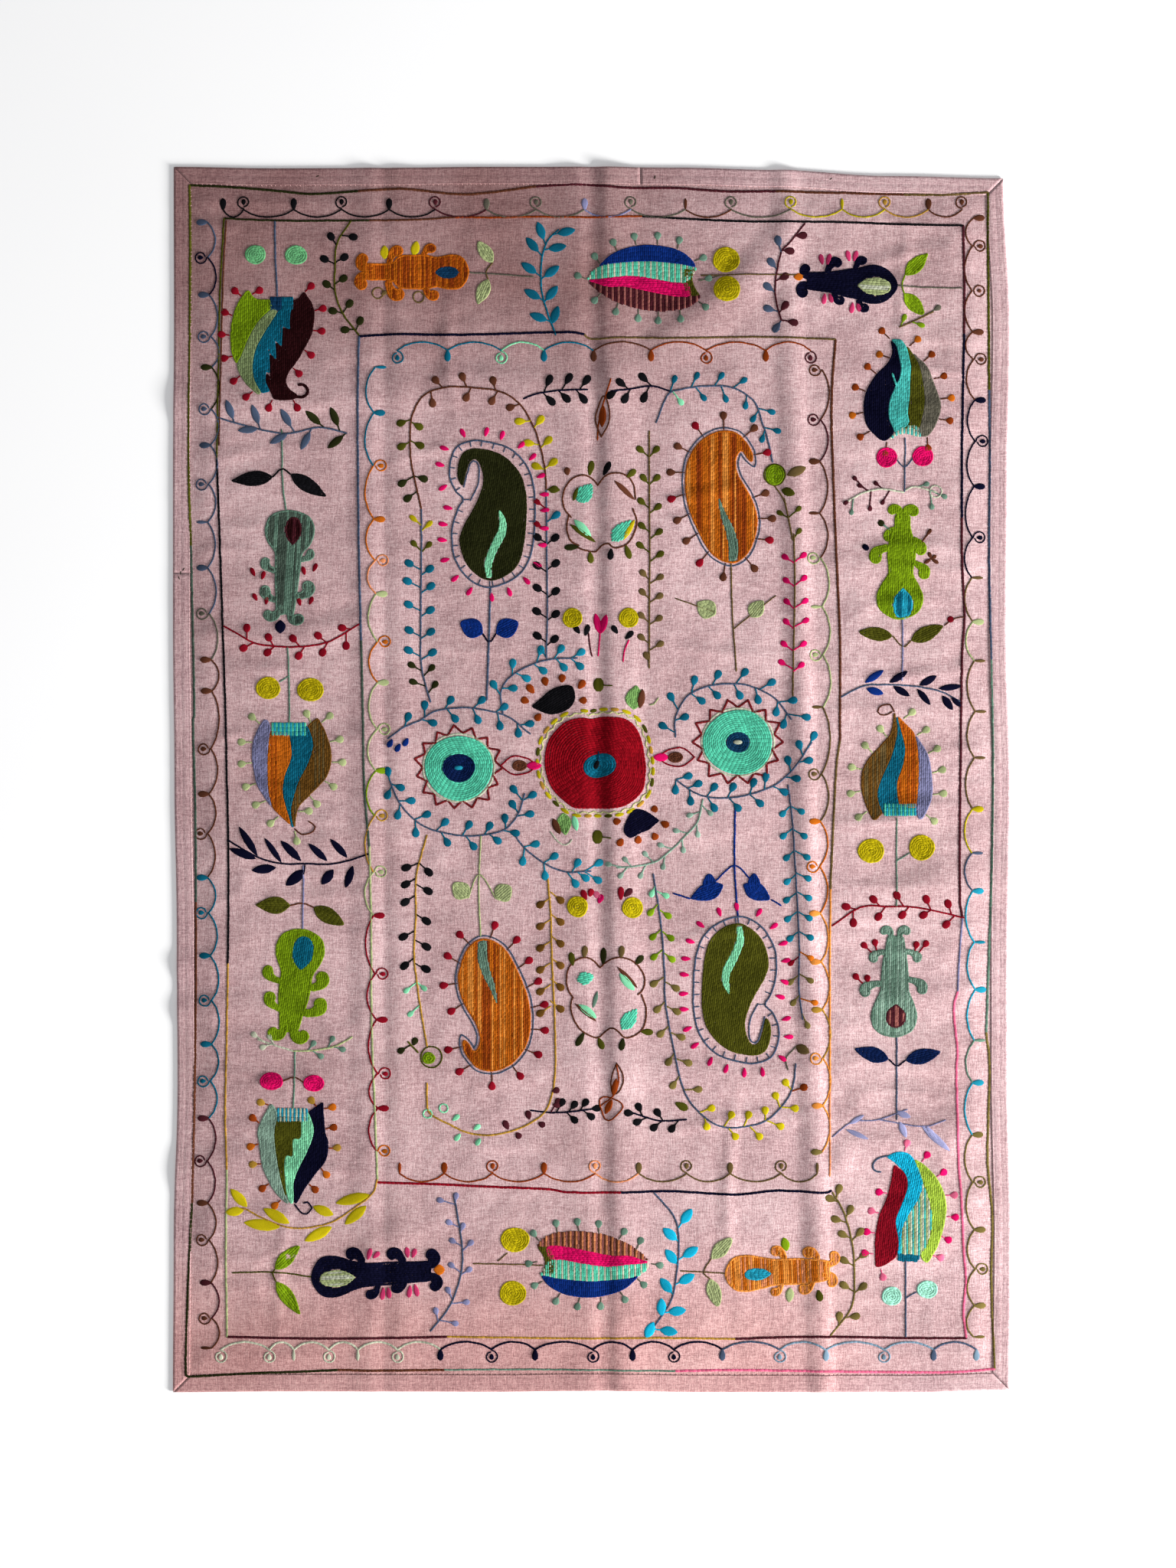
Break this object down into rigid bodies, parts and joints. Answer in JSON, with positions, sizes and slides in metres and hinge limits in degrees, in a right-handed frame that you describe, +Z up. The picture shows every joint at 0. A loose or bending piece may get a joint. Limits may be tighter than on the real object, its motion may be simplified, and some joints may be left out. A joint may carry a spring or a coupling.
{
  "type": "suzani embroidered textile",
  "caption": "Pale pink cotton suzani lying flat, worked in many coloured wools with paisleys, leaf sprigs, vines and rosettes inside scroll borders, edged with a mitred binding.",
  "frame": {"origin": "on the surface under the middle of the cloth's outline", "axes": "+Z up out of the embroidered face; +Y along the length, towards the edge that is at the top of the picture; +X across the width, to the right in the picture"},
  "size_m": [1.5042, 2.2, 0.0071],
  "materials": {
    "ground_cotton": "matt plain weave",
    "binding_cotton": "matt plain weave",
    "embroidery_wool": "soft wool thread"
  },
  "bodies": {
    "root": {"panel": "ground_cotton", "binding_top_left": "binding_cotton", "binding_top_right": "binding_cotton", "binding_right": "binding_cotton", "binding_bottom": "binding_cotton", "binding_left_lower": "binding_cotton", "binding_left_upper": "binding_cotton"}
  },
  "joints": []
}
